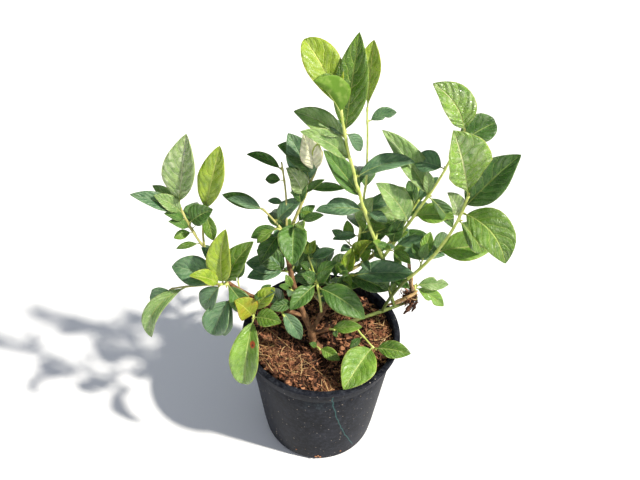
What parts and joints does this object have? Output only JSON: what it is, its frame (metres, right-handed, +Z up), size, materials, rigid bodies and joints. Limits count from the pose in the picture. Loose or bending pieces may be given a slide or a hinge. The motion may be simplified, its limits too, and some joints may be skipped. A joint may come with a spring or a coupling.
{
  "type": "potted blueberry bush",
  "caption": "Young highbush blueberry with leafy shoots on forked woody boughs, growing in a round black nursery pot filled with bark and coir mix.",
  "frame": {"origin": "centre of the pot's flat underside, on the ground", "axes": "+Z up along the pot's axis, -Y towards the viewer of the picture, +X to the viewer's right"},
  "size_m": [0.3205, 0.2365, 0.4826],
  "materials": {
    "pot plastic": "satin",
    "potting mix": "rough",
    "bark": "matte",
    "foliage": "satin"
  },
  "bodies": {
    "root": {"pot": "pot plastic", "potting_mix": "potting mix", "trunk": "bark", "right_bough": "bark", "old_snag": "bark", "right_riser": "bark", "far_riser": "bark", "back_bough": "bark", "up_bough": "bark", "left_bough": "bark", "left_riser": "bark", "back_left_bough": "bark", "back_right_bough": "bark", "top_shoot": "foliage", "right_shoot": "foliage", "far_shoot": "foliage", "back_shoot": "foliage", "centre_shoot": "foliage", "left_shoot": "foliage", "left_cluster": "foliage", "front_cluster": "foliage", "under_cluster": "foliage", "middle_shoot": "foliage", "middle_spur": "foliage", "inner_spur": "foliage", "lower_spur": "foliage", "riser_spur": "foliage", "riser_foot_spur": "foliage", "rim_spur": "foliage", "front_shoot": "foliage", "foot_sprout": "foliage", "foot_spur": "foliage", "low_back_shoot": "foliage", "back_left_shoot": "foliage", "back_right_shoot": "foliage"}
  },
  "joints": []
}
